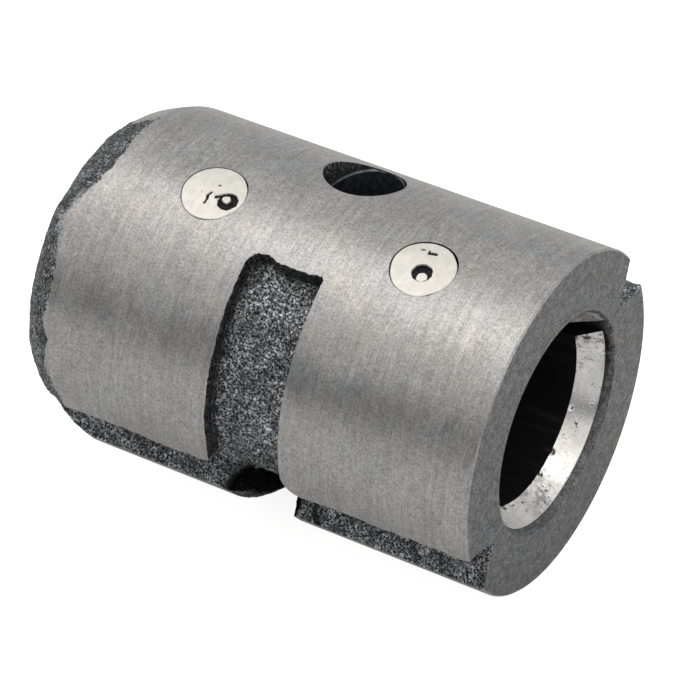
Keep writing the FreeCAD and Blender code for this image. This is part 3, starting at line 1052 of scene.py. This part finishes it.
# ----------------------------------------------------------------------- anchor plugs
#
# Places on the face of a plug are in millimetres: a along the sleeve toward the front, b
# round it.

# The big shrinkage hole is a crescent, inside the first circle and outside the second: a, b
# and radius of each.
PLUG_CRESCENTS = {
    "upper_rear": ((2.42, 0.68, 1.38), (2.1, 0.42, 0.58)),
    "upper_front": ((0.2, 0.84, 1.38), (0.53, 1.45, 0.72)),
    "lower_front": ((-0.6, -0.4, 1.0), (-0.2, 0.3, 0.8)),
    "lower_rear": ((0.9, -1.1, 0.8), (0.6, -0.7, 0.6)),
}

# The cracks beside it are broken lines: corners and half width.
PLUG_CRACKS = {
    "upper_rear": [
        ([(1.5, -0.1), (1.05, 0.3), (0.65, 0.65)], 0.24),
        ([(-0.3, 0.25), (-0.54, 0.8), (-0.34, 1.35), (-0.42, 2.0)], 0.16),
        ([(-0.05, -1.25), (0.2, -1.31)], 0.14),
        ([(-1.65, 0.45), (-1.6, 0.55)], 0.05),
    ],
    "upper_front": [
        ([(-2.0, -2.5), (-1.35, -2.68)], 0.1),
        ([(-0.6, -2.35), (0.3, -2.6)], 0.2),
        ([(-0.6, -2.35), (-0.72, -2.75)], 0.13),
    ],
    "lower_front": [([(1.2, 1.4), (1.5, 1.9)], 0.1)],
    "lower_rear": [([(-1.6, 0.8), (-1.1, 1.2), (-1.2, 1.7)], 0.1)],
}

# Where the soft metal has drawn away from its hole: middle angle, spread and width.
PLUG_GAPS = {
    "upper_rear": [(-40, 30, 0.16), (78, 34, 0.12), (35, 14, 0.06)],
    "upper_front": [(-45, 42, 0.24), (-115, 60, 0.15), (165, 40, 0.1), (52, 14, 0.14)],
    "lower_front": [(60, 50, 0.12)],
    "lower_rear": [(-120, 50, 0.12)],
}


def near_line(a, b, corners):
    """Distance from each place to a broken line."""
    best = np.full_like(a, 99.0)
    for (a0, b0), (a1, b1) in zip(corners[:-1], corners[1:]):
        da, db = a1 - a0, b1 - b0
        share = np.clip(((a - a0) * da + (b - b0) * db) / (da**2 + db**2), 0, 1)
        best = np.minimum(best, np.hypot(a - a0 - share * da, b - b0 - share * db))
    return best


def crescent(a, b, outer, inner):
    """Distance inside a crescent: within the outer circle and outside the inner one."""
    oa, ob, outer_radius = outer
    ia, ib, inner_radius = inner
    in_outer = outer_radius - np.hypot(a - oa, b - ob)
    out_inner = np.hypot(a - ia, b - ib) - inner_radius
    return np.minimum(in_outer, out_inner)


def plug_holes(which, a, b):
    """Distance inside the shrinkage holes of a plug, above 0 in a hole."""
    inside = crescent(a, b, *PLUG_CRESCENTS[which])
    if which == "upper_front":
        # The far side of this crescent is cut off straight.
        inside = np.minimum(inside, 1.68 - 0.32 * a - 0.72 * b)
    for corners, half_width in PLUG_CRACKS[which]:
        inside = np.maximum(inside, half_width - near_line(a, b, corners))
    return inside


def plug_gap(which, turn):
    """Gap between a plug and its hole at each angle round the plug."""
    gap = np.full_like(turn, 0.035)
    for middle, spread, width in PLUG_GAPS[which]:
        away = (np.degrees(turn) - middle + 180) % 360 - 180
        gap += width * np.exp(-((away / spread) ** 2) * 2)
    edge = np.stack([np.cos(turn), np.sin(turn), np.full_like(turn, len(which))], axis=-1)
    gap += 0.03 * bumps(edge * 4, 1.1, PLUG_SEED)
    return np.maximum(gap, 0.01)


def build_plug(half, end):
    which = half + "_" + end
    start, along, rounding, out = hole_frame(PLUG_X[end], PLUG_STATION[half])
    turn = np.radians(np.arange(0, 360, 1.5))
    reach = np.linspace(0, 1, 90)[1:]
    radius = reach[:, None] * (PLUG_RADIUS - plug_gap(which, turn))[None, :]
    a = radius * np.cos(turn)[None, :]
    b = radius * np.sin(turn)[None, :]
    # The length of the name sets each plug's noise apart from the others'.
    spot = np.stack([a, b, np.full_like(a, 7.0 * len(which))], axis=-1)
    inside = plug_holes(which, a, b) + 0.07 * grit(spot, 0.5, PLUG_SEED + 10, 2)
    hollow = np.clip(inside / 0.09 + 0.4, 0, 1)
    rounded = np.clip((reach - 0.975) / 0.025, 0, 1)[:, None]
    sunk = 0.55 * hollow * np.clip(0.6 + 3 * inside, 0.3, 1.0)
    sunk = sunk + 0.02 * np.abs(grit(spot, 0.8, PLUG_SEED + 16))
    top = np.sqrt(OUTSIDE**2 - b**2) - 0.012 - sunk - 0.07 * rounded
    base = start + a[..., None] * along + b[..., None] * rounding
    face = base + top[..., None] * out
    foot = base[-1] + np.sqrt(PLUG_FOOT**2 - b[-1] ** 2)[:, None] * out
    rows, columns = len(reach) + 1, len(turn)
    quads = grid_quads(rows, columns, close_columns=True)
    points = np.concatenate([face, foot[None]])
    plug = new_piece(which + "_plug_cast", points, quads, end_caps(rows, columns))
    mark_hollow(plug, np.concatenate([hollow, np.ones((1, columns))]))
    paint(plug, PLUG_METAL)
    settle(plug, half, which + "_anchor_plug")


cross_hole = cross_hole_cutter()
build_shells(cross_hole)
for half in HALVES:
    build_lining(half, cross_hole)
    for end in PLUG_X:
        build_plug(half, end)
drop(cross_hole)

# ------------------------------------------------------------------- floor and lights

FLOOR_LEVEL = -OUTSIDE / PER_METRE - 0.00002
LAMP_COLOUR = (1.0, 0.98, 0.94)

# Brightness of the surroundings by angle over the sleeve: -90 is level behind it, 0 is
# straight up and 90 is level on the viewer's side.
WALL_STEPS = [
    (-120, 0.9),
    (-95, 0.58),
    (-70, 0.53),
    (-45, 0.64),
    (-20, 0.76),
    (8, 0.85),
    (36, 0.84),
    (52, 0.78),
    (66, 0.37),
    (80, 0.03),
    (100, 0.2),
]


def build_floor():
    """A wide flat disc just under the sleeve."""
    turn = np.radians(np.arange(0, 360, 5.0))[None, :]
    reach = np.array([0.02, 0.1, 0.4, 1.2, 3.0])[:, None]
    x = reach * np.cos(turn)
    points = np.stack([x, reach * np.sin(turn), np.full_like(x, FLOOR_LEVEL)], axis=-1)
    rows, columns = x.shape
    quads = grid_quads(rows, columns, close_columns=True)
    floor = new_piece("floor", points, quads, end_caps(rows, columns)[:1])
    n = new_material("floor_paper")
    grain = n.noise(900.0)
    value = n.vary(grain, 0.60, 0.62)
    seen = n.add("ShaderNodeLightPath").outputs["Is Camera Ray"]
    # Seen in the metal, the floor is darker beside the sleeve on the viewer's side: a painted shadow in
    # the floor's glow.
    side = n.split(n.place)[1]
    near = n.math("MAXIMUM", n.span(side, -0.06, -0.03, 0.2, 0.08), n.span(side, -0.02, 0.0, 0.0, 0.2))
    glow = n.math("MAXIMUM", near, n.span(seen, 0.0, 1.0, 0.0, 0.88))
    material = n.finish(
        n.grey(value),
        0.0,
        0.9,
        n.bump(grain, 0.00002, 0.2),
        Specular_IOR_Level=0.1,
        Emission_Color=(1.0, 1.0, 1.0, 1.0),
        Emission_Strength=glow,
    )
    paint(floor, material)


def add_lamp(name, place, aim, width, depth, strength):
    """A soft box whose strength is its brightness as seen from the sleeve."""
    data = bpy.data.lights.new(name, "AREA")
    data.shape = "RECTANGLE"
    data.size = width
    data.size_y = depth
    data.energy = strength * math.pi * width * depth
    data.color = LAMP_COLOUR
    lamp = bpy.data.objects.new(name, data)
    lamp.location = place
    lamp.rotation_mode = "QUATERNION"
    lamp.rotation_quaternion = (Vector(aim) - Vector(place)).to_track_quat("-Z", "Y")
    bpy.context.scene.collection.objects.link(lamp)


def build_surroundings():
    """Pale walls all round: a little darker low down on the viewer's side."""
    world = bpy.data.worlds.new("surroundings")
    bpy.context.scene.world = world
    n = Nodes(world)
    _, y, z = n.split(n.places["Generated"])
    angle = n.math("ARCTAN2", n.times(y, -1.0), z)
    ramp = n.add("ShaderNodeValToRGB", {0: n.span(angle, -math.pi, math.pi)})
    elements = ramp.color_ramp.elements
    while len(elements) < len(WALL_STEPS):
        elements.new(0.5)
    for element, (degrees, value) in zip(elements, WALL_STEPS):
        element.position = (degrees + 180) / 360
        warm = 0.17 * (value - 0.62)
        element.color = (value * (1 + warm), value, value * (1 - warm), 1)
    n.feed(n.tree.nodes["Background"].inputs["Color"], ramp.outputs["Color"])


build_floor()
add_lamp("overhead", (-0.2, -0.075, 0.55), (0, 0, 0), width=0.4, depth=0.16, strength=1.8)
add_lamp("mouth", (0.333, 0.03, 0.4), (0.03, 0, 0), width=0.15, depth=0.15, strength=2.0)
build_surroundings()

# ---------------------------------------------------------------------------- camera

CAMERA_AZIMUTH = math.radians(31.22)
CAMERA_ELEVATION = math.radians(37.88)
CAMERA_LENS = 217.7
CAMERA_SENSOR = 36.0
CAMERA_DISTANCE = 0.5454
CAMERA_SHIFT = (0.00144, -0.00012)  # right and up, metres


def build_camera():
    """A long-lens camera above and to the front of the near side."""
    east, north = math.sin(CAMERA_AZIMUTH), -math.cos(CAMERA_AZIMUTH)
    level = math.cos(CAMERA_ELEVATION)
    back = Vector((east * level, north * level, math.sin(CAMERA_ELEVATION)))
    right = Vector((-north, east, 0))
    up = back.cross(right)
    data = bpy.data.cameras.new("camera")
    data.lens = CAMERA_LENS
    data.sensor_width = CAMERA_SENSOR
    data.clip_start = 0.01
    camera = bpy.data.objects.new("camera", data)
    camera.matrix_world = Matrix((right, up, back)).transposed().to_4x4()
    move_right, move_up = CAMERA_SHIFT
    camera.location = back * CAMERA_DISTANCE + right * move_right + up * move_up
    bpy.context.scene.collection.objects.link(camera)
    bpy.context.scene.camera = camera


build_camera()
bpy.context.scene.view_settings.view_transform = "Standard"
